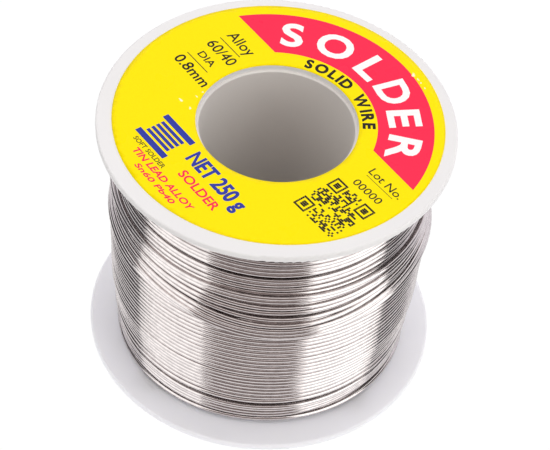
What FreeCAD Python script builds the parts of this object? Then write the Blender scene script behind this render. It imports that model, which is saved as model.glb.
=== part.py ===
"""A reel of soft solder wire: a ribbed hub, two pressed-on flanges, a printed face label and the wire.

The reel stands on its lower flange. Z runs up the bore and the origin is the centre of the face that it stands on.
All sizes are in millimetres.
"""

import FreeCAD, Part
import math
import os

# Driving dimensions
FLANGE_DIAMETER = 58.0
FLANGE_THICKNESS = 1.2
FLANGE_EDGE_RADIUS = 0.35
REEL_HEIGHT = 47.7  # over both flanges
FLANGE_BORE_DIAMETER = 26.1  # a little wider than the hub's bore, so the hub's end shows as a ledge
HUB_BORE_DIAMETER = 25.1
HUB_TUBE_WALL = 1.3
BARREL_DIAMETER = 38.0  # what the wire is wound on
BARREL_WALL = 1.3
RIB_COUNT = 6
RIB_THICKNESS = 1.0
LABEL_DIAMETER = 53.4
LABEL_THICKNESS = 0.1
LABEL_OFFSET = (0.23, 0.51)  # the label is stuck on a little off centre
WIRE_DIAMETER = 0.8

# Fits and small details
LIP_THICKNESS = 0.85  # of the flange, over the end of the hub's tube
TUBE_CHAMFER = 0.15
SOCKET_CLEARANCE = 0.05
SPIGOT_WALL = 1.0
SPIGOT_HEIGHT = 2.0
SPIGOT_CHAMFER = 0.25
RIB_GAP = 0.5  # from a spigot's end to the ribs
LABEL_HOLE_MARGIN = 0.03
START_HOLE_DIAMETER = 1.3
START_HOLE_HEIGHT = 4.4
START_HOLE_ANGLE = 210.0
TAIL_BEND_RADIUS = 1.0
TAIL_RUN = 3.5

# The wound wire's outer surface: it swells above the middle, and is thinnest at the lower flange
WINDING_FOOT_RADIUS = 24.5
WINDING_SWELL = [(25.7, 14.0), (25.95, 21.0), (26.6, 28.0), (25.8, 32.5), (25.2, 37.0)]  # radius, height
WINDING_TOP_RADIUS = 25.1

# Worked out from the above
FLANGE_RADIUS = FLANGE_DIAMETER / 2
TUBE_INNER = HUB_BORE_DIAMETER / 2
TUBE_OUTER = TUBE_INNER + HUB_TUBE_WALL
BARREL_OUTER = BARREL_DIAMETER / 2
BARREL_INNER = BARREL_OUTER - BARREL_WALL
INNER_LOW = FLANGE_THICKNESS
INNER_HIGH = REEL_HEIGHT - FLANGE_THICKNESS
UP = FreeCAD.Vector(0, 0, 1)
ORIGIN = FreeCAD.Vector(0, 0, 0)


def at(radius, height):
    """A point of a section that is turned about the Z axis."""
    return FreeCAD.Vector(radius, 0, height)


def turned(edges):
    """The solid that a closed section makes when it turns about the Z axis."""
    face = Part.Face(Part.Wire(edges))
    return face.revolve(ORIGIN, UP, 360)


def outline(points):
    """Straight edges through the points, and back to the first."""
    return [Part.LineSegment(a, b).toShape() for a, b in zip(points, points[1:] + points[:1])]


def ring(inner, outer, low, high):
    """A plain ring about the Z axis."""
    return turned(outline([at(inner, low), at(outer, low), at(outer, high), at(inner, high)]))


def tube_along(edges, diameter):
    """A round wire whose centre follows the edges."""
    path = Part.Wire(edges)
    start = edges[0].firstVertex().Point
    along = edges[0].tangentAt(edges[0].FirstParameter)
    section = Part.Wire([Part.Circle(start, along, diameter / 2).toShape()])
    return path.makePipeShell([section], True, True)


def lower_flange():
    """A disc with rounded rims, a lip over the hub's tube and a spigot that presses into the barrel."""
    bore = FLANGE_BORE_DIAMETER / 2
    round_ = FLANGE_EDGE_RADIUS
    turn = round_ * math.sqrt(0.5)
    socket = TUBE_OUTER + SOCKET_CLEARANCE
    spigot_inner = BARREL_INNER - SPIGOT_WALL
    spigot_top = INNER_LOW + SPIGOT_HEIGHT
    low_round = Part.Arc(
        at(FLANGE_RADIUS - round_, 0),
        at(FLANGE_RADIUS - round_ + turn, round_ - turn),
        at(FLANGE_RADIUS, round_),
    )
    high_round = Part.Arc(
        at(FLANGE_RADIUS, INNER_LOW - round_),
        at(FLANGE_RADIUS - round_ + turn, INNER_LOW - round_ + turn),
        at(FLANGE_RADIUS - round_, INNER_LOW),
    )
    inner_side = [
        at(FLANGE_RADIUS - round_, INNER_LOW),
        at(BARREL_INNER, INNER_LOW),
        at(BARREL_INNER, spigot_top - SPIGOT_CHAMFER),
        at(BARREL_INNER - SPIGOT_CHAMFER, spigot_top),
        at(spigot_inner, spigot_top),
        at(spigot_inner, INNER_LOW),
        at(socket, INNER_LOW),
        at(socket, LIP_THICKNESS),
        at(bore, LIP_THICKNESS),
        at(bore, 0),
        at(FLANGE_RADIUS - round_, 0),
    ]
    edges = [low_round.toShape()]
    edges.append(Part.LineSegment(at(FLANGE_RADIUS, round_), at(FLANGE_RADIUS, INNER_LOW - round_)).toShape())
    edges.append(high_round.toShape())
    edges += [Part.LineSegment(a, b).toShape() for a, b in zip(inner_side, inner_side[1:])]
    return turned(edges)


def upper_flange():
    """The same moulding, turned over."""
    flange = lower_flange()
    flange.rotate(FreeCAD.Vector(0, 0, REEL_HEIGHT / 2), FreeCAD.Vector(1, 0, 0), 180)
    return flange


def hub():
    """The bore's tube inside the barrel, joined by radial ribs, with a hole for the wire's start."""
    end_low = LIP_THICKNESS
    end_high = REEL_HEIGHT - LIP_THICKNESS
    bore_tube = turned(
        outline(
            [
                at(TUBE_INNER + TUBE_CHAMFER, end_low),
                at(TUBE_OUTER, end_low),
                at(TUBE_OUTER, end_high),
                at(TUBE_INNER + TUBE_CHAMFER, end_high),
                at(TUBE_INNER, end_high - TUBE_CHAMFER),
                at(TUBE_INNER, end_low + TUBE_CHAMFER),
            ]
        )
    )
    barrel = ring(BARREL_INNER, BARREL_OUTER, INNER_LOW, INNER_HIGH)
    rib_low = INNER_LOW + SPIGOT_HEIGHT + RIB_GAP
    rib_length = REEL_HEIGHT - 2 * rib_low
    overlap = 0.3  # a rib's ends run this far into the walls that it joins
    rib_width = BARREL_INNER - TUBE_OUTER + 2 * overlap
    ribs = []
    for i in range(RIB_COUNT):
        corner = FreeCAD.Vector(TUBE_OUTER - overlap, -RIB_THICKNESS / 2, rib_low)
        rib = Part.makeBox(rib_width, RIB_THICKNESS, rib_length, corner)
        rib.rotate(ORIGIN, UP, i * 360 / RIB_COUNT)
        ribs.append(rib)
    body = bore_tube.fuse([barrel] + ribs).removeSplitter()
    hole = Part.makeCylinder(
        START_HOLE_DIAMETER / 2,
        2 * BARREL_WALL,
        FreeCAD.Vector(BARREL_INNER - BARREL_WALL / 2, 0, START_HOLE_HEIGHT),
        FreeCAD.Vector(1, 0, 0),
    )
    hole.rotate(ORIGIN, UP, START_HOLE_ANGLE)
    return body.cut(hole)


def face_label():
    """A thin disc with a hole, stuck on the upper flange a little off centre."""
    base = FreeCAD.Vector(LABEL_OFFSET[0], LABEL_OFFSET[1], REEL_HEIGHT)
    disc = Part.makeCylinder(LABEL_DIAMETER / 2, LABEL_THICKNESS, base)
    hole_radius = FLANGE_BORE_DIAMETER / 2 + LABEL_HOLE_MARGIN
    return disc.cut(Part.makeCylinder(hole_radius, LABEL_THICKNESS, FreeCAD.Vector(0, 0, REEL_HEIGHT)))


def wire_winding():
    """The outer shape of all the wound turns, from the barrel to the outermost turn."""
    swell_points = [at(*point) for point in WINDING_SWELL]
    swell = Part.BSplineCurve()
    swell.interpolate(swell_points)
    top = at(WINDING_TOP_RADIUS, INNER_HIGH)
    foot = at(WINDING_FOOT_RADIUS, INNER_LOW)
    edges = [
        Part.LineSegment(at(BARREL_OUTER, INNER_LOW), foot).toShape(),
        Part.LineSegment(foot, swell_points[0]).toShape(),
        swell.toShape(),
        Part.LineSegment(swell_points[-1], top).toShape(),
        Part.LineSegment(top, at(BARREL_OUTER, INNER_HIGH)).toShape(),
        Part.LineSegment(at(BARREL_OUTER, INNER_HIGH), at(BARREL_OUTER, INNER_LOW)).toShape(),
    ]
    return turned(edges)


def wire_start_tail():
    """The wire's inner end: through the barrel's hole, then bent along the inside of the barrel."""
    radius = TAIL_BEND_RADIUS
    bend_x = BARREL_INNER - WIRE_DIAMETER / 2 - radius / 2
    turn = radius * math.sqrt(0.5)
    start = FreeCAD.Vector(BARREL_OUTER - 0.01, 0, START_HOLE_HEIGHT)
    bend_start = FreeCAD.Vector(bend_x, 0, START_HOLE_HEIGHT)
    bend_middle = FreeCAD.Vector(bend_x - turn, turn - radius, START_HOLE_HEIGHT)
    bend_end = FreeCAD.Vector(bend_x - radius, -radius, START_HOLE_HEIGHT)
    end = FreeCAD.Vector(bend_x - radius, -radius - TAIL_RUN, START_HOLE_HEIGHT)
    tail = tube_along(
        [
            Part.LineSegment(start, bend_start).toShape(),
            Part.Arc(bend_start, bend_middle, bend_end).toShape(),
            Part.LineSegment(bend_end, end).toShape(),
        ],
        WIRE_DIAMETER,
    )
    tail.rotate(ORIGIN, UP, START_HOLE_ANGLE)
    return tail


PARTS = {
    "hub": hub,
    "lower_flange": lower_flange,
    "upper_flange": upper_flange,
    "face_label": face_label,
    "wire_winding": wire_winding,
    "wire_start_tail": wire_start_tail,
}


def main():
    os.makedirs("parts", exist_ok=True)
    for name, make in PARTS.items():
        shape = make()
        shape.exportStep(f"parts/{name}.step")
        box = shape.BoundBox
        print(
            f"{name}: {shape.ShapeType}, {len(shape.Solids)} solid, valid {shape.isValid()}, "
            f"{shape.Volume:.1f} mm3, z {box.ZMin:.2f} to {box.ZMax:.2f}, radius {box.XMax:.2f}"
        )


main()
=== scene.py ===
"""Looks for the solder wire reel: the wound wire, the printed label, the moulded plastic and the studio.

Lengths are in millimetres inside the builders and become metres where an object is made.
Azimuth is in degrees about Z from the side that faces the camera (-Y), positive towards +X.
"""

import math

import bpy
import numpy as np
from mathutils import Matrix, Vector
from mathutils.geometry import delaunay_2d_cdt


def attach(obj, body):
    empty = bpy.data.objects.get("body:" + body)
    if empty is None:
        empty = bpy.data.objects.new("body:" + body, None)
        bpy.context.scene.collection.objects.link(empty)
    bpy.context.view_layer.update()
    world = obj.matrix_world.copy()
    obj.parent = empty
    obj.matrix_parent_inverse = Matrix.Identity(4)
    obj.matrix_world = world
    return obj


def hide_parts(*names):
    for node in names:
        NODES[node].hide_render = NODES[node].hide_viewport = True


MM = 0.001


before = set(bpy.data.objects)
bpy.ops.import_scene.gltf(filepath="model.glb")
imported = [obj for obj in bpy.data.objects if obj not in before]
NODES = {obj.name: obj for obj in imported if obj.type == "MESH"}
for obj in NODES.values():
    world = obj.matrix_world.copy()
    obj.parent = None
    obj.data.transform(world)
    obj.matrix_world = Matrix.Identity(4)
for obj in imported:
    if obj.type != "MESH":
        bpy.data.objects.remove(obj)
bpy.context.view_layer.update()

# ---------------------------------------------------------------- camera

REEL_TOP = 47.7  # height of the upper flange's face
FLANGE_RADIUS = 29.0
CAMERA_DISTANCE = 14.9432  # in flange radii
CAMERA_ELEVATION = 45.1924
CAMERA_ROLL = -5.3637
CAMERA_PAN = -0.1533
CAMERA_TILT = -2.1511
CAMERA_LENS = 177.73
CAMERA_SENSOR = 36.0
CAMERA_CLIP = (0.01, 20)  # metres


def turn(axis, degrees):
    return Matrix.Rotation(math.radians(degrees), 3, axis)


def make_camera():
    """A camera aimed at the middle of the reel's top, then panned, tilted and rolled."""
    lift = math.radians(CAMERA_ELEVATION)
    place = Vector((0, -math.cos(lift), math.sin(lift))) * CAMERA_DISTANCE
    ahead = -place.normalized()
    right = Vector((1, 0, 0))
    up = right.cross(ahead)
    pan = turn(up, CAMERA_PAN)
    ahead, right = pan @ ahead, pan @ right
    tilt = turn(right, CAMERA_TILT)
    ahead, up = tilt @ ahead, tilt @ up
    roll = turn(ahead, CAMERA_ROLL)
    right, up = roll @ right, roll @ up
    data = bpy.data.cameras.new("camera")
    data.lens = CAMERA_LENS
    data.sensor_width = CAMERA_SENSOR
    data.sensor_fit = "HORIZONTAL"
    data.clip_start, data.clip_end = CAMERA_CLIP
    camera = bpy.data.objects.new("camera", data)
    bpy.context.scene.collection.objects.link(camera)
    place = place * FLANGE_RADIUS * MM + Vector((0, 0, REEL_TOP * MM))
    axes = Matrix((right, up, -ahead)).transposed()
    camera.matrix_world = Matrix.Translation(place) @ axes.to_4x4()
    bpy.context.scene.camera = camera


make_camera()

# ---------------------------------------------------------------- shared helpers

NOISE_LOW, NOISE_HIGH = 0.3, 0.7  # most of a noise's values lie between them


def smooth(t):
    """0 to 1 with a soft start and a soft end."""
    t = np.clip(t, 0, 1)
    return t * t * (3 - 2 * t)


def ramp(values, start, width):
    """0 up to start, and from there to 1 over width. A width below 0 goes to 1 downwards from start."""
    return smooth((values - start) / width)


def placed(points, degrees, at=(0, 0)):
    """Points of a plane, turned about its origin and then moved."""
    c, s = math.cos(math.radians(degrees)), math.sin(math.radians(degrees))
    x, y = points.T
    return np.stack([at[0] + x * c - y * s, at[1] + x * s + y * c], -1)


def link(name, data):
    made = bpy.data.objects.new(name, data)
    bpy.context.scene.collection.objects.link(made)
    return made


def drawn(data):
    """The points and edges that a curve or a text gives. The curve itself is removed."""
    holder = link(data.name, data)
    bpy.context.view_layer.update()
    mesh = bpy.data.meshes.new_from_object(holder.evaluated_get(bpy.context.evaluated_depsgraph_get()))
    points = np.zeros(len(mesh.vertices) * 3)
    mesh.vertices.foreach_get("co", points)
    edges = [tuple(edge.vertices) for edge in mesh.edges]
    bpy.data.objects.remove(holder)
    bpy.data.curves.remove(data)
    bpy.data.meshes.remove(mesh)
    return points.reshape(-1, 3), edges


def material(name, **inputs):
    """A new material and its shader, with constant values on the shader's own sockets."""
    made = bpy.data.materials.new(name)
    made.use_nodes = True
    shader = made.node_tree.nodes["Principled BSDF"]
    for socket, value in inputs.items():
        shader.inputs[socket.replace("_", " ")].default_value = value
    return made, made.node_tree, shader


def noise(tree, scale, detail):
    """A noise over the piece's own coordinates, which are in metres."""
    where = tree.nodes.new("ShaderNodeTexCoord")
    made = tree.nodes.new("ShaderNodeTexNoise")
    made.inputs["Scale"].default_value = scale
    made.inputs["Detail"].default_value = detail
    tree.links.new(where.outputs["Object"], made.inputs["Vector"])
    return made.outputs["Fac"]


def ranged(tree, value, start, end, low=0.0, high=1.0, kind="LINEAR"):
    """value's start to end becomes low to high."""
    made = tree.nodes.new("ShaderNodeMapRange")
    made.interpolation_type = kind
    for socket, number in (("From Min", start), ("From Max", end), ("To Min", low), ("To Max", high)):
        made.inputs[socket].default_value = number
    tree.links.new(value, made.inputs["Value"])
    return made.outputs["Result"]


def varied(tree, scale, detail, low, high):
    """A noise that mostly stays between low and high."""
    return ranged(tree, noise(tree, scale, detail), NOISE_LOW, NOISE_HIGH, low, high)


def mixed(tree, value, first, second):
    """Two colours mixed by value. The first is a constant or another node's output."""
    made = tree.nodes.new("ShaderNodeMix")
    made.data_type = "RGBA"
    if isinstance(first, tuple):
        made.inputs["A"].default_value = (*first, 1)
    else:
        tree.links.new(first, made.inputs["A"])
    made.inputs["B"].default_value = (*second, 1)
    tree.links.new(value, made.inputs["Factor"])
    return made.outputs["Result"]


def bumped(tree, shader, value, strength, distance):
    """A bump by value, whose full height is the distance in metres."""
    made = tree.nodes.new("ShaderNodeBump")
    made.inputs["Strength"].default_value = strength
    made.inputs["Distance"].default_value = distance
    tree.links.new(value, made.inputs["Height"])
    tree.links.new(made.outputs["Normal"], shader.inputs["Normal"])


# ---------------------------------------------------------------- the wound wire

WIRE = 0.8
BARREL = 19.0  # its radius
WIND_LOW, WIND_HIGH = 1.6, 46.1  # centres of the lowest and highest turns
HOLE_HEIGHT = 4.4
HOLE_AZIMUTH = -60.0
WIRE_SIDES = 8
STEPS = 96  # to a turn, where turns are laid on each other
CONTROL_STEP = 4  # a control point of the wire's spline every so many steps
DIP_AZIMUTH, DIP_WIDTH = 8.0, 38  # where the last turns sag most, and over how many degrees
LAST_DIP = 3.1  # how far the lowest of them sags


class Winder:
    """The height of the wire at each step as it winds on, turn after turn."""

    def __init__(self, height):
        self.heights = [height]

    def azimuth(self):
        """Azimuth of the last step, within -180 to 180."""
        return (HOLE_AZIMUTH + 360 * (len(self.heights) - 1) / STEPS + 180) % 360 - 180

    def to(self, height, pitch):
        """Winds on to a height, with a pitch that depends on where it is."""
        while self.heights[-1] != height:
            here = self.heights[-1]
            step = pitch(here) / STEPS
            near = abs(height - here) <= step
            self.heights.append(height if near else here + math.copysign(step, height - here))

    def round_to(self, azimuth, climb=0.0):
        """Winds on to an azimuth, and climbs smoothly on the way."""
        here = self.azimuth()
        count = max(1, round(((azimuth - here) % 360) / 360 * STEPS))
        start = self.heights[-1]
        self.heights += [start + climb * float(smooth(i / count)) for i in range(1, count + 1)]

    def dwell(self, turns):
        self.heights += [self.heights[-1]] * round(turns * STEPS)


def neat_pitch(height):
    """The pitch of the ninth pass, which is a little wider near the foot."""
    return 0.955 + 0.08 * float(ramp(height, 13, -6))


GAP_REACH = 0.42  # how far up and down a gap widens the pitch


def close_pitch(pitch, gaps=()):
    """A pitch with gaps between groups of turns: the height of each gap, and what it adds to the pitch."""

    def at(height):
        return pitch + sum(more * math.exp(-(((height - level) / GAP_REACH) ** 2)) for level, more in gaps)

    return at


PITCH = 0.86
UPPER_GAPS = ((44.2, 0.2), (41.6, 0.3), (38.2, 0.95), (36.4, 0.35), (34.9, 0.45))
UNDER_GAPS = ((38.2, 1.1), (35.0, 1.0))
LOW_GAPS = ((6.1, 2.3), (3.1, 1.6))
BULGE_GAPS = ((33.4, 0.55), (31.9, 0.3))
HIDDEN_BOTTOMS = (6.0, 12.0, WIND_LOW)  # how far down the hidden passes go
GROUPS_LOW = 33.4  # the eighth pass is seen in groups of turns down to here
BUNDLE_TOP = 5.3  # the ninth pass starts with a bundle of turns up to here
NEAT_TOP = 28.7  # and goes on in neat turns up to here
LAST_LOW = 28.9  # the tenth pass ends here


def wind():
    """Height of the whole wire at each step, and the steps at which its passes start.

    After a few turns down from the hole there are six hidden passes, three up and three down. The seventh
    goes up, the eighth down, the ninth up, and the short tenth down again.
    """
    wire = Winder(HOLE_HEIGHT)
    starts = [0]

    def turn_back():
        starts.append(len(wire.heights))

    wire.to(WIND_LOW, close_pitch(PITCH))
    turn_back()
    for bottom in HIDDEN_BOTTOMS:
        wire.to(WIND_HIGH, close_pitch(PITCH))
        turn_back()
        wire.to(bottom, close_pitch(PITCH))
        turn_back()
    wire.to(WIND_HIGH, close_pitch(PITCH, UNDER_GAPS))
    wire.dwell(0.3)
    turn_back()
    wire.to(GROUPS_LOW, close_pitch(0.85, UPPER_GAPS))
    wire.to(WIND_LOW, close_pitch(PITCH, LOW_GAPS))
    wire.round_to(-95)
    turn_back()
    # a turn on the flange and a bundle above it, a step over the groove, the neat turns, and a long step up
    wire.round_to(20, 0.8)
    wire.round_to(100, 0.1)
    wire.round_to(-60, 0.8)
    wire.to(BUNDLE_TOP, close_pitch(0.74))
    wire.round_to(75, 0.2)
    wire.round_to(-75, 1.65)
    wire.to(NEAT_TOP, neat_pitch)
    wire.round_to(75, 0.3)
    wire.round_to(-75, 5.7)
    turn_back()
    wire.to(LAST_LOW, close_pitch(0.64, BULGE_GAPS))
    wire.round_to(165)
    return np.array(wire.heights), starts


def wavy(count, wave, seed):
    """A smooth random line of about -1 to 1, which changes over wave steps."""
    knots = np.random.default_rng(seed).normal(0, 0.5, int(count / wave) + 5)
    at = np.arange(count) / wave
    i = at.astype(int)
    t = at - i
    a, b, c, d = (knots[i + k] for k in range(4))
    middle = b * (3 * t**3 - 6 * t**2 + 4) + c * (-3 * t**3 + 3 * t**2 + 3 * t + 1)
    return (a * (1 - t) ** 3 + middle + d * t**3) / 4


def sag(azimuth):
    """How far the last turns hang down, from 0 to 1, by azimuth."""
    return np.exp(-(((azimuth - DIP_AZIMUTH) / DIP_WIDTH) ** 2))


def strays(heights, starts):
    """The same heights with the wander of real turns."""
    eighth, ninth, tenth = starts[-3:]
    count = len(heights)
    step = np.arange(count)
    azimuth = (HOLE_AZIMUTH + 360 * step / STEPS + 180) % 360 - 180
    loose = 0.03 + 0.05 * ramp(heights, 26, 4)
    made = heights + loose * wavy(count, 37, 11) * ramp(heights, 2, 2) * ramp(heights, 45.5, -2)
    # under the upper flange, groups of turns climb to the right and part from the ones below
    top = (step >= eighth) & (step < ninth)
    right = ramp(azimuth, 5, 55) * ramp(azimuth, 180, -90)
    left = ramp(azimuth, -5, -45) * ramp(azimuth, -180, 90)
    upper = ramp(heights, 35.2, 0.8) * ramp(heights, 43, -4)
    lower = ramp(heights, 35.2, -0.8) * ramp(heights, 31, 2)
    made += top * (0.8 * right * upper + 0.3 * left * upper)
    made += top * (-0.2 * right * lower)
    # the lowest turns but the first climb to the right
    low = (step >= ninth) & (heights < 15)
    climb = ramp(azimuth, 10, 38) * ramp(azimuth, 150, -60) * ramp(heights, 2.6, 0.6)
    made += low * climb * (0.35 + 0.45 * ramp(heights, 5.2, -1.7)) * ramp(heights, 14, -6)
    # the last turns sag towards the camera
    last = step >= tenth
    made -= last * LAST_DIP * ramp(heights, 36.5, -8.0) ** 1.3 * sag(azimuth)
    made += 0.1 * wavy(count, 61, 5) * last
    return np.clip(made, WIND_LOW, WIND_HIGH), azimuth


# radius of the outermost turns' centres, by height, without the bulge that the last turns make
SURFACE = (
    (1.6, 24.0), (6.0, 24.2), (9.0, 24.5), (14.0, 25.1), (20.0, 25.45),
    (26.0, 25.65), (31.0, 25.4), (34.5, 25.2), (36.5, 24.85), (46.1, 24.7),
)
BULGE, BULGE_HEIGHT, BULGE_REACH, BULGE_DIP = 0.55, 28.6, 2.2, 1.6  # it hangs lower where the turns sag
SPREAD = 1.5  # how far up and down a turn lifts the later ones
STAGGER = 0.15  # how far every other one of the last turns stands out, and the rest stay back
NOWHERE, NO_LAYER = -9.0, 99  # stand for the steps that the last turn lacks
TURNS_BELOW = 90  # how many turns back a turn looks for what it lies on


def surface(heights, azimuth):
    """The radius of the outermost turns' centres."""
    base = np.interp(heights, *np.transpose(SURFACE))
    return base + BULGE * np.exp(-(((heights - BULGE_HEIGHT + BULGE_DIP * sag(azimuth)) / BULGE_REACH) ** 2))


def evened(values):
    """A running mean over four steps on each side."""
    return np.convolve(np.pad(values, 4, "edge"), np.full(9, 1 / 9), "valid")


def lay(heights, azimuth, starts):
    """The radius of each step.

    It goes from the barrel to the surface by the share of the layers at its height that lie below it.
    """
    count = len(heights)
    turns = math.ceil(count / STEPS)
    layer = np.searchsorted(starts, np.arange(count), side="right")
    over = turns * STEPS - count
    z = np.concatenate([heights, np.full(over, NOWHERE)]).reshape(turns, STEPS)
    layer = np.concatenate([layer, np.full(over, NO_LAYER)]).reshape(turns, STEPS)
    share = np.zeros_like(z)
    for column in range(STEPS):
        here, mine = z[:, column], layer[:, column]
        near = np.exp(-(((here[:, None] - here) / SPREAD) ** 2))
        same = mine[:, None] == mine
        below = (near * (mine[:, None] > mine)).sum(1)
        others = (near * ~same).sum(1)
        share[:, column] = below / np.maximum(others, 1e-6)
    share = evened(share.ravel()[:count])
    lowest = BARREL + WIRE / 2
    radii = lowest + (surface(heights, azimuth) - lowest) * share
    # the last two passes lie on what is below them
    for start, end in zip(starts[-2:], [*starts[-1:], count]):
        rest = radii[start:end].copy()
        for i in range(start, end):
            under = np.arange(i % STEPS, start, STEPS)[-TURNS_BELOW:]
            apart = np.abs(heights[under] - heights[i])
            on = radii[under] + np.sqrt(np.maximum(WIRE**2 - apart**2, 0))
            rest[i - start] = max(rest[i - start], float(np.where(apart < WIRE, on, 0).max()))
        radii[start:end] = evened(rest)
    # where the last turns are squeezed together, every other one stands out
    k = np.arange(starts[-1], count)
    turn_number = np.floor((HOLE_AZIMUTH - DIP_AZIMUTH + 360 * k / STEPS) / 360)
    radii[k] += STAGGER * np.where(turn_number % 2, 1, -1) * (1 - sag(azimuth[k]))
    return radii


def spline_points(name, points):
    """The smooth line that a NURBS curve of these points follows."""
    data = bpy.data.curves.new(name, "CURVE")
    data.dimensions = "3D"
    data.resolution_u = 4
    spline = data.splines.new("NURBS")
    spline.points.add(len(points) - 1)
    flat = np.ones((len(points), 4))
    flat[:, :3] = points
    spline.points.foreach_set("co", flat.ravel())
    spline.order_u = 3
    spline.use_endpoint_u = True
    return drawn(data)[0]


def tube(name, line, radius, sides):
    """A mesh tube with closed ends along a line that never runs straight up."""
    along = np.gradient(line, axis=0)
    along /= np.linalg.norm(along, axis=1)[:, None]
    out = np.cross(along, (0, 0, 1))
    out /= np.linalg.norm(out, axis=1)[:, None]
    up = np.cross(out, along)
    angle = np.arange(sides) * 2 * math.pi / sides
    ring = out[:, None] * np.cos(angle)[None, :, None] + up[:, None] * np.sin(angle)[None, :, None]
    points = (line[:, None] + radius * ring).reshape(-1, 3)
    count = len(line)
    i = np.arange(count - 1)[:, None] * sides
    j = np.arange(sides)[None]
    k = (j + 1) % sides
    quads = np.stack([i + j, i + k, i + k + sides, i + j + sides], -1).reshape(-1, 4)
    mesh = bpy.data.meshes.new(name)
    first, last = list(range(sides))[::-1], [(count - 1) * sides + s for s in range(sides)]
    corners = np.concatenate([quads.ravel(), first, last])
    mesh.vertices.add(len(points))
    mesh.vertices.foreach_set("co", points.ravel())
    mesh.loops.add(len(corners))
    mesh.loops.foreach_set("vertex_index", corners.astype(np.int32))
    mesh.polygons.add(len(quads) + 2)
    starts = np.concatenate([np.arange(len(quads)) * 4, [len(quads) * 4, len(quads) * 4 + sides]])
    mesh.polygons.foreach_set("loop_start", starts.astype(np.int32))
    mesh.polygons.foreach_set("use_smooth", np.ones(len(quads) + 2, bool))
    mesh.update(calc_edges=True)
    mesh.validate()
    return link(name, mesh)


# the inner end: (radius, sideways) from the hole, bent along the inside of the barrel
TAIL = ((15.8, -4.5), (15.8, -2.6), (15.8, -0.1), (19.45, -0.15), (19.3, 2.6))


def around(radius, azimuth, height):
    """Points at an azimuth."""
    angle = np.radians(azimuth)
    return np.stack([radius * np.sin(angle), -radius * np.cos(angle), height], -1)


def wire_line():
    """The wire's control points from its inner end on, and where the seventh and the eighth pass start."""
    heights, starts = wind()
    heights, azimuth = strays(heights, starts)
    radii = lay(heights, azimuth, starts)
    radii += 0.03 * wavy(len(radii), 29, 3)
    outwards = 1 / (0.75 + 0.25 * math.cos(2 * math.pi * CONTROL_STEP / STEPS))  # the spline cuts its corners
    keep = slice(CONTROL_STEP, None, CONTROL_STEP)
    turns = around(radii[keep] * outwards, azimuth[keep], heights[keep])
    tail = placed(np.array(TAIL), HOLE_AZIMUTH - 90)
    tail = np.column_stack([tail, np.full(len(tail), HOLE_HEIGHT)])
    return np.concatenate([tail, turns]), [start // CONTROL_STEP + len(tail) for start in starts[-4:-2]]


def solder():
    """Bright drawn metal, a little uneven in tone and gloss."""
    made, tree, shader = material("tinned_solder", Metallic=1.0, Specular_IOR_Level=0.5)
    tone = mixed(tree, varied(tree, 900, 3, 0, 1), (0.62, 0.578, 0.57), (0.73, 0.682, 0.672))
    tree.links.new(tone, shader.inputs["Base Color"])
    tree.links.new(varied(tree, 1700, 2, 0.08, 0.14), shader.inputs["Roughness"])
    return made


def wire_piece(name, line, finish):
    """A stretch of the wire, as a tube."""
    piece = tube(name, line, WIRE / 2 * MM, WIRE_SIDES)
    piece.data.materials.append(finish)
    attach(piece, "root")
    return piece


def make_wire():
    """The wire is one line, drawn as two stretches that meet where the seventh pass starts.

    Hidden turns keep every third point. The bent inner end, and what shows from the eighth pass on, keep all.
    """
    points, (seventh, eighth) = wire_line()
    line = spline_points("wire_route", points)
    join, shown = (int(at / len(points) * len(line)) for at in (seventh, eighth))
    bent, hidden = 24, 3
    inner = line[np.concatenate([np.arange(bent), np.arange(bent, join, hidden), [join]])] * MM
    rest = line[np.concatenate([np.arange(join, shown, hidden), np.arange(shown, len(line))])] * MM
    finish = solder()
    first = wire_piece("wire_inner_turns", inner, finish)
    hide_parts("wire_start_tail")
    last = wire_piece("wire_outer_turns", rest, finish)
    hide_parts("wire_winding")


make_wire()

# ---------------------------------------------------------------- moulded plastic


def white_plastic(name, colour, rough, cloudy=0.0):
    """Moulded white plastic. cloudy is how far light goes through it."""
    made, tree, shader = material(name, IOR=1.5)
    if cloudy:
        shader.inputs["Subsurface Weight"].default_value = cloudy
        shader.inputs["Subsurface Radius"].default_value = (1.0, 1.0, 1.1)
        shader.inputs["Subsurface Scale"].default_value = 0.003
    darker = tuple(c * 0.965 for c in colour)
    tree.links.new(mixed(tree, varied(tree, 60, 3, 0, 1), darker, colour), shader.inputs["Base Color"])
    tree.links.new(varied(tree, 240, 3, rough - 0.04, rough + 0.05), shader.inputs["Roughness"])
    bumped(tree, shader, noise(tree, 1400, 2), 0.12, 0.00003)
    return made


def dress(node, made):
    """Gives a carried-over node its material."""
    mesh = NODES[node].data
    mesh.materials.clear()
    mesh.materials.append(made)


# the flanges and the hub are one white plastic: the lower flange's copy is painted lighter and bluer, painted
# light where the upper flange and the winding shade it, and the hub's copy is painted darker, painted shade
# for the bore
dress("upper_flange", white_plastic("flange_plastic", (0.815, 0.808, 0.802), 0.38))
dress("lower_flange", white_plastic("base_plastic_painted_light", (0.84, 0.84, 0.88), 0.38, 0.5))
dress("hub", white_plastic("hub_plastic", (0.755, 0.72, 0.685), 0.42))

# ---------------------------------------------------------------- the printed label

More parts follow.
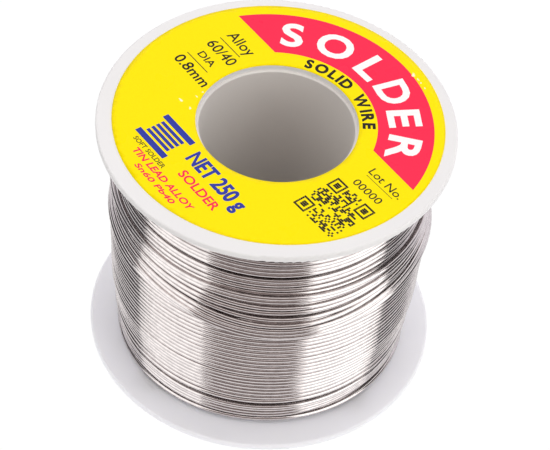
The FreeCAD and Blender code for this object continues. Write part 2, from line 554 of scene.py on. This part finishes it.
LABEL_TURN = -50.0  # which way the print reads
LABEL_RADIUS = 26.7
LABEL_HOLE = 13.08  # its radius
LABEL_CENTRE = (0.23, 0.51)  # of its rim. The hole is round the reel's axis
LABEL_TOP = 47.8
LABEL_THICK = 0.1
LABEL_FOOT = 0.002  # how far its walls stay clear of the flange
FILM_DROP = 0.045  # how far the film lies below the label's top
EDGE_WIDTH, EDGE_DROP = 0.8, 0.02  # the film's edges lie level at this drop, and come to it over this width
GRID, GRID_REACH, GRID_MARGIN = 0.7, 27, 0.5  # points between the outlines, clear of the rim and the hole
LETTER_GAP, WORD_GAP = 0.17, 0.45  # along an arc, at the font's size 1
YELLOW, RED, WHITE, BLACK, BLUE, PAINTED_GLINT = range(6)
INKS = (
    ("label_yellow", (0.98, 0.785, 0.0), 0.30),
    ("label_red", (0.95, 0.03, 0.085), 0.28),
    ("label_white", (0.93, 0.93, 0.92), 0.30),
    ("label_black", (0.025, 0.022, 0.018), 0.30),
    ("label_blue", (0.035, 0.05, 0.36), 0.28),
    # painted highlight: the colour of the small glints on the film's creases
    ("label_painted_glint", (0.98, 0.90, 0.40), 0.30),
)
TITLE = (  # letter, angle, width and lean
    ("S", 136.8, 1.15, 0), ("O", 116.0, 1.08, 0), ("L", 95.0, 1.2, -3),
    ("D", 76.9, 1.0, 0), ("E", 59.9, 1.18, 1), ("R", 41.3, 1.18, 0),
)
# small lifted spots and creases in the film, each with a painted glint on it: place on the label, size and
# height
CREASES_AND_PAINTED_GLINTS = (
    (-12.4, -10.1, 0.6, 0.030), (-10.1, -9.9, 0.45, 0.022), (-11.7, -7.5, 0.35, 0.03),
    (-12.0, -6.1, 0.3, 0.02), (3.2, 25.2, 0.7, 0.03), (4.4, 25.2, 0.4, 0.02),
    (5.3, 25.1, 0.3, 0.02), (6.6, 24.9, 0.3, 0.02),
)


def arc(radius, start, end, count, centre=(0, 0)):
    """Points on an arc in the label's own plane, from one angle to another."""
    angle = np.radians(np.linspace(start, end, count))
    return np.stack([centre[0] + radius * np.cos(angle), centre[1] + radius * np.sin(angle)], -1)


def glyphs(words, slant=0.0):
    """Outlines of a line of text from the built-in font, at size 1 and standing on 0."""
    data = bpy.data.curves.new("text", "FONT")
    data.body = words
    data.size = 1.0
    data.shear = slant
    data.resolution_u = 4
    data.fill_mode = "NONE"
    points, edges = drawn(data)
    beside = {}
    for a, b in edges:
        beside.setdefault(a, []).append(b)
        beside.setdefault(b, []).append(a)
    rings, seen = [], set()
    for start in beside:
        if start in seen:
            continue
        ring, here = [], start
        while here is not None and here not in seen:
            seen.add(here)
            ring.append(here)
            here = next((point for point in beside[here] if point not in seen), None)
        if len(ring) > 2:
            rings.append(points[ring, :2])
    return rings


def heavier(rings, by):
    """The same outlines with their strokes made wider by this much on each side."""
    made = []
    for ring in rings:
        holders = sum(bool(inside(ring[:1], [other])[0]) for other in rings if other is not ring)
        x, y = ring.T
        area = (x * np.roll(y, -1) - np.roll(x, -1) * y).sum()
        outwards = by * math.copysign(1, area) * (-1 if holders % 2 else 1)
        along = np.roll(ring, -1, 0) - ring
        along /= np.maximum(np.linalg.norm(along, axis=1)[:, None], 1e-9)
        side = np.stack([along[:, 1], -along[:, 0]], -1)
        corner = side + np.roll(side, 1, 0)
        corner /= np.maximum((corner**2).sum(1)[:, None] / 2, 0.5)
        made.append(ring + outwards * corner)
    return made


def extent(rings):
    """The lower left and upper right corners of the box round the outlines."""
    every = np.concatenate(rings)
    return every.min(0), every.max(0)


CAPITAL = np.ptp(extent(glyphs("H")), axis=0)[1]  # the height of the font's capitals


def line_of(words, left, right, base, capital, bold=0.0, slant=0.0, lean=0.0):
    """A straight line of text from left to right on a base line, turned by lean about its left end."""
    rings = glyphs(words, slant)
    low, high = extent(rings)
    scale = np.array([(right - left - 2 * bold) / (high[0] - low[0]), (capital - 2 * bold) / CAPITAL])
    rings = heavier([(ring - (low[0], 0)) * scale + bold for ring in rings], bold)
    return [placed(ring, lean, (left, base)) for ring in rings]


def letter_on(letter, angle, radius, capital, wide, bold, lean=0.0):
    """One letter that stands on a circle of this radius at an angle, with its head outwards."""
    rings = glyphs(letter)
    low, high = extent(rings)
    size = (capital - 2 * bold) / CAPITAL
    middle = ((low[0] + high[0]) / 2, 0)
    rings = heavier([(ring - middle) * (size * wide, size) + (0, bold) for ring in rings], bold)
    place = math.radians(angle)
    foot = (radius * math.cos(place), radius * math.sin(place))
    return [placed(ring, angle + lean - 90, foot) for ring in rings]


def arc_text(words, start, end, radius, capital, bold):
    """Letters along an arc from one angle to another, each as wide as its share."""
    widths = []
    for letter in words:
        if letter == " ":
            widths.append(WORD_GAP)
        else:
            low, high = extent(glyphs(letter))
            widths.append(high[0] - low[0] + LETTER_GAP)
    edges = np.concatenate([[0], np.cumsum(widths)])
    made = []
    for letter, a, b in zip(words, edges, edges[1:]):
        if letter != " ":
            angle = start + (end - start) * (a + b) / 2 / edges[-1]
            made += letter_on(letter, angle, radius, capital, 1.0, bold)
    return made


def bar(x, y, width, height, lean=0.0):
    """A rectangle from its lower left corner."""
    corners = np.array([(0, 0), (width, 0), (width, height), (0, height)], float)
    return [placed(corners, lean, (x, y))]


def red_band():
    """Most of a ring, cut off straight below."""
    inner, outer, cut = 16.1, 25.2, 9.2
    a, b = math.degrees(math.asin(cut / outer)), math.degrees(math.asin(cut / inner))
    return [np.concatenate([arc(outer, a, 180 - a, 90), arc(inner, 180 - b, b, 50)])]


def dot_square():
    """A square of small blocks in a random pattern without data, with a framed block in three corners."""
    side, cells, lean, eye, corner, gap = 9.2, 25, 2.0, 7, (15.3, -8.2), 0.02
    cell = side / cells
    dark = np.random.default_rng(20).random((cells, cells)) < 0.48
    framed = np.zeros((eye + 1, eye + 1), bool)
    framed[:eye, :eye] = True
    framed[1 : eye - 1, 1 : eye - 1] = False
    framed[2 : eye - 2, 2 : eye - 2] = True
    dark[: eye + 1, : eye + 1] = framed
    dark[-eye - 1 :, : eye + 1] = framed[::-1]
    dark[-eye - 1 :, -eye - 1 :] = framed[::-1, ::-1]
    made = []
    for row in range(cells):
        column = 0
        while column < cells:
            run = 0
            while column + run < cells and dark[row, column + run]:
                run += 1
            if run:
                x, y = placed(np.array([column * cell, row * cell]), lean, corner)
                made += bar(x, y, cell * run - gap, cell - gap, lean)
            column += run + 1
    return made


def reel_mark():
    """A plain drawing of a reel of wire: two flanges with four turns between them."""
    made = bar(-10.9, -20.0, 7.6, 1.1) + bar(-10.9, -14.7, 7.6, 1.1)
    for i in range(4):
        made += bar(-10.0, -18.5 + 0.93 * i, 5.8, 0.62)
    return made


def printing():
    """The print, then painted glints on the creases, in the order in which each covers what is below: ink and
    outlines.
    """
    titles = []
    for letter, angle, wide, lean in TITLE:
        titles += letter_on(letter, angle, 17.8, 5.45, wide, 0.235, lean)
    black = line_of("Alloy", -20.75, -14.8, 4.75, 2.0, bold=0.03)
    black += bar(-20.9, 3.58, 5.5, 0.16)
    black += line_of("60/40", -21.0, -14.6, 0.82, 2.0, bold=0.03)
    black += line_of("DIA", -19.8, -16.0, -1.8, 1.35, bold=0.03)
    black += bar(-20.95, -2.95, 5.65, 0.16)
    black += line_of("0.8mm", -21.1, -12.95, -5.65, 2.0, bold=0.045)
    black += line_of("Lot No.", 16.5, 23.8, 5.6, 1.5, bold=0.015, lean=2)
    black += bar(16.9, 5.0, 6.3, 0.1, lean=2)
    black += line_of("00000", 16.9, 22.9, 2.1, 1.4, bold=0.012, lean=4)
    black += arc_text("SOLID WIRE", 126.2, 51.0, 13.65, 2.1, 0.13)
    black += line_of("SOFT SOLDER", -9.6, -1.6, -21.3, 0.85, bold=0.02)
    black += dot_square()
    blue = line_of("NET 250 g", -1.5, 12.2, -17.0, 2.9, bold=0.14) + reel_mark()
    red = line_of("SOLDER", 0.6, 10.1, -19.9, 1.7, bold=0.06)
    red += line_of("TIN LEAD ALLOY", -7.5, 8.1, -22.95, 1.25, bold=0.06, slant=0.15)
    red += line_of("Sn60 Pb40", -4.65, 5.5, -24.5, 1.0, bold=0.05, slant=0.15)
    # painted glints: pale spots with white centres on the creases, painted highlights in place of the light
    # the film would catch
    glints = [blot(x, y, size) for x, y, size, _ in CREASES_AND_PAINTED_GLINTS]
    painted_glint_cores = [blot(x, y, 0.45 * size) for x, y, size, _ in CREASES_AND_PAINTED_GLINTS]
    inked = ((RED, red_band()), (WHITE, titles), (BLACK, black), (BLUE, blue), (RED, red))
    return (*inked, (PAINTED_GLINT, glints), (WHITE, painted_glint_cores))


def blot(x, y, size):
    """A small uneven spot."""
    angle = np.radians(np.arange(0, 360, 24))
    far = size * (0.62 + 0.2 * np.sin(2 * angle + 9 * x) + 0.12 * np.sin(3 * angle + 7 * y))
    return np.stack([x + far * np.cos(angle), y + 0.7 * far * np.sin(angle)], -1)


def inside(points, rings):
    """Which points lie inside the outlines, by the even-odd rule."""
    odd = np.zeros(len(points), bool)
    for ring in rings:
        low, high = ring.min(0), ring.max(0)
        near = np.flatnonzero(((points > low) & (points < high)).all(1))
        if not len(near):
            continue
        x, y = points[near, 0][:, None], points[near, 1][:, None]
        x0, y0 = ring.T
        x1, y1 = np.roll(ring, -1, 0).T
        spans = (y0 > y) != (y1 > y)
        with np.errstate(divide="ignore", invalid="ignore"):
            cross = (x1 - x0) * (y - y0) / (y1 - y0) + x0
        odd[near] ^= (spans & (x < cross)).sum(1) % 2 == 1
    return odd


def film_height(points):
    """How far the label's film stands off the flat."""
    x, y = points.T
    lift = 0.006 * np.sin(0.55 * x + 0.3 * y + 1.0) * np.sin(0.35 * y - 0.2 * x)
    for cx, cy, size, height in CREASES_AND_PAINTED_GLINTS:
        lift += height * np.exp(-(((x - cx) ** 2 + (y - cy) ** 2) / size**2))
    return lift - FILM_DROP


def flat_label(centre):
    """The label as flat triangles that follow the print's outlines: points, faces and each face's ink."""
    rim = arc(LABEL_RADIUS, 0, 360, 241, centre)[:-1]
    hole = arc(LABEL_HOLE, 0, 360, 145)[:-1]
    layers = printing()
    rings = [rim, hole] + [ring for _, group in layers for ring in group]
    points = [p for ring in rings for p in ring]
    edges, base = [], 0
    for ring in rings:
        edges += [(base + i, base + (i + 1) % len(ring)) for i in range(len(ring))]
        base += len(ring)
    span = slice(-GRID_REACH, GRID_REACH, GRID)
    grid = np.mgrid[span, span].reshape(2, -1).T
    grid[:, 0] += GRID / 2 * (np.round((grid[:, 1] + GRID_REACH) / GRID) % 2)
    within = np.hypot(*(grid - centre).T) < LABEL_RADIUS - GRID_MARGIN
    points += list(grid[within & (np.hypot(*grid.T) > LABEL_HOLE + GRID_MARGIN)])
    made = delaunay_2d_cdt([Vector(p) for p in points], edges, [], 0, 1e-4)
    flat = np.array([tuple(p) for p in made[0]])
    faces = np.array([tuple(f) for f in made[2]])
    middle = flat[faces].mean(1)
    on_label = inside(middle, [rim]) & ~inside(middle, [hole])
    faces, middle = faces[on_label], middle[on_label]
    ink = np.full(len(faces), YELLOW)
    for colour, group in layers:
        ink[inside(middle, group)] = colour
    used, faces = np.unique(faces, return_inverse=True)
    return flat[used], faces.reshape(-1, 3), ink


def border(faces):
    """The edges that only one face has."""
    sides = dict.fromkeys(pair for a, b, c in faces.tolist() for pair in ((a, b), (b, c), (c, a)))
    return [(a, b) for a, b in sides if (b, a) not in sides]


def make_label():
    """The film on top, and a wall down to the flange along its rim and its hole."""
    centre = placed(np.array(LABEL_CENTRE), -LABEL_TURN)
    flat, faces, ink = flat_label(centre)
    from_edge = np.minimum(LABEL_RADIUS - np.hypot(*(flat - centre).T), np.hypot(*flat.T) - LABEL_HOLE)
    free = smooth(from_edge / EDGE_WIDTH)
    height = LABEL_TOP + film_height(flat) * free - EDGE_DROP * (1 - free)
    top = np.column_stack([placed(flat, LABEL_TURN), height])
    edges = border(faces)
    foot = list(dict.fromkeys(point for edge in edges for point in edge))
    below = {point: len(top) + i for i, point in enumerate(foot)}
    extra = top[foot]
    extra[:, 2] = LABEL_TOP - LABEL_THICK + LABEL_FOOT
    walls = [(b, a, below[a], below[b]) for a, b in edges]
    mesh = bpy.data.meshes.new("printed_label")
    mesh.from_pydata((np.concatenate([top, extra]) * MM).tolist(), [], faces.tolist() + walls)
    indices = np.concatenate([ink, np.full(len(walls), YELLOW)])
    mesh.polygons.foreach_set("material_index", indices.astype(np.int32))
    mesh.polygons.foreach_set("use_smooth", np.arange(len(indices)) < len(faces))
    mesh.update()
    label = link("printed_label", mesh)
    for name, colour, rough in INKS:
        mesh.materials.append(ink_material(name, colour, rough))
    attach(label, "root")
    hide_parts("face_label")


def ink_material(name, colour, rough):
    """Printed paper under a thin gloss film. The pale glint colour is a painted highlight, not print."""
    made, tree, shader = material(name, IOR=1.45, Specular_IOR_Level=0.08)
    paler = tuple(min(1, c * 1.01 + 0.001) for c in colour)
    darker = tuple(c * 0.98 for c in colour)
    tree.links.new(mixed(tree, varied(tree, 2600, 2, 0, 1), darker, paler), shader.inputs["Base Color"])
    tree.links.new(varied(tree, 180, 2, rough - 0.05, rough + 0.06), shader.inputs["Roughness"])
    return made


make_label()

# ---------------------------------------------------------------- studio


def stage_plane(name, z, half, made):
    """A level square of the studio. Its z and half its width are in metres."""
    mesh = bpy.data.meshes.new(name)
    corners = [(-half, -half, z), (half, -half, z), (half, half, z), (-half, half, z)]
    mesh.from_pydata(corners, [], [(0, 1, 2, 3)])
    mesh.materials.append(made)
    plane = link(name, mesh)
    return plane


def glow(name, colour, strength):
    """A material that only shines."""
    made = bpy.data.materials.new(name)
    made.use_nodes = True
    tree = made.node_tree
    tree.nodes.clear()
    out = tree.nodes.new("ShaderNodeOutputMaterial")
    shine = tree.nodes.new("ShaderNodeEmission")
    shine.inputs["Color"].default_value = (*colour, 1)
    shine.inputs["Strength"].default_value = strength
    tree.links.new(shine.outputs["Emission"], out.inputs["Surface"])
    return made


# the light round the reel by azimuth: a tall white wall on each side, dark gaps beside the walls, and a pale
# room behind
ROOM = (
    (-180, 0.47), (-134, 0.47), (-120, 0.05), (-83, 0.04), (-82, 0.74), (-35, 0.76), (-34, 0.12),
    (27, 0.12), (33, 1.0), (80, 1.0), (81, 0.04), (104, 0.05), (118, 0.5), (180, 0.47),
)
WALL_TINT = (1, 1, 0.99)
FRONT_TINT = (1, 0.82, 0.79)
BACK_TINT = (0.97, 0.94, 1)
OVERHEAD = (0.68, 0.645, 0.63)
CEILING = (0.76, 0.75, 0.75)  # behind the reel only
ROOM_STRENGTH = 2.0


def tint(angle, level):
    """The tint of the room at a stop of ROOM."""
    if level > 0.5:
        return WALL_TINT
    return FRONT_TINT if abs(angle) < 40 else BACK_TINT


def math_node(tree, operation, *values):
    """A math node on constants and other nodes' outputs."""
    made = tree.nodes.new("ShaderNodeMath")
    made.operation = operation
    for socket, value in zip(made.inputs, values):
        if isinstance(value, (int, float)):
            socket.default_value = value
        else:
            tree.links.new(value, socket)
    return made.outputs[0]


def make_world():
    """The light by direction: round the reel by azimuth, and above it by elevation."""
    world = bpy.data.worlds.new("studio")
    world.use_nodes = True
    tree = world.node_tree
    where = tree.nodes.new("ShaderNodeTexCoord")
    split = tree.nodes.new("ShaderNodeSeparateXYZ")
    tree.links.new(where.outputs["Generated"], split.inputs[0])
    x, y, z = split.outputs
    azimuth = math_node(tree, "ARCTAN2", x, math_node(tree, "MULTIPLY", y, -1.0))
    elevation = math_node(tree, "ARCSINE", z)
    room = tree.nodes.new("ShaderNodeValToRGB")
    tree.links.new(ranged(tree, azimuth, -math.pi, math.pi), room.inputs[0])
    stops = room.color_ramp.elements
    while len(stops) > 1:
        stops.remove(stops[-1])
    for i, (angle, level) in enumerate(ROOM):
        stop = stops[0] if i == 0 else stops.new((angle + 180) / 360)
        stop.position = (angle + 180) / 360
        stop.color = (*(level * c for c in tint(angle, level)), 1)

    def between(value, start, end):
        return ranged(tree, value, math.radians(start), math.radians(end), kind="SMOOTHSTEP")

    behind = between(math_node(tree, "ABSOLUTE", azimuth), 80, 83)
    behind_and_high = math_node(tree, "MULTIPLY", behind, between(elevation, 48, 51))
    lit = mixed(tree, between(elevation, 56, 62), room.outputs[0], OVERHEAD)
    lit = mixed(tree, behind_and_high, lit, CEILING)
    back = tree.nodes["Background"]
    back.inputs["Strength"].default_value = ROOM_STRENGTH
    tree.links.new(lit, back.inputs["Color"])
    bpy.context.scene.world = world


PAPER_WHITE = 1.02  # the floor and the backdrop come out just white
DOME_RADIUS = 3  # metres
FLOOR_SEEN = (-0.0002, 2.5)  # the floors' z and half width in metres
FLOOR_BOUNCE = (-0.0010, 0.092)
FLOOR_SHADED = (-0.0005, 0.019)


def make_backdrop():
    """A white dome that only the camera sees."""
    bpy.ops.mesh.primitive_uv_sphere_add(segments=48, ring_count=24, radius=DOME_RADIUS)
    dome = bpy.context.object
    dome.name = "backdrop"
    dome.data.materials.append(glow("backdrop_white", (1, 1, 1), PAPER_WHITE))
    for ray in ("diffuse", "glossy", "transmission", "volume_scatter", "shadow"):
        setattr(dome, "visible_" + ray, False)


def make_studio():
    """The camera sees a plain white floor. The reel is lit by a smaller one, which a dark grey sheet covers
    under the reel: painted shade that darkens the bore.
    """
    seen = stage_plane("floor", *FLOOR_SEEN, glow("floor_white", (1, 1, 1), PAPER_WHITE))
    seen.visible_diffuse = seen.visible_glossy = seen.visible_shadow = False
    bounce = stage_plane("floor_bounce", *FLOOR_BOUNCE, glow("floor_bounce", (1.0, 0.99, 1.0), 1.0))
    bounce.visible_camera = False
    # painted shade: a dark grey sheet under the bore, hidden from the camera, where white paper would only
    # lie in shade
    paper = material("floor_painted_shade", Base_Color=(0.15, 0.15, 0.15, 1), Roughness=0.9)[0]
    shaded = stage_plane("floor_shaded", *FLOOR_SHADED, paper)
    shaded.visible_camera = False
    make_backdrop()
    make_world()
    bpy.context.scene.view_settings.view_transform = "Standard"


make_studio()
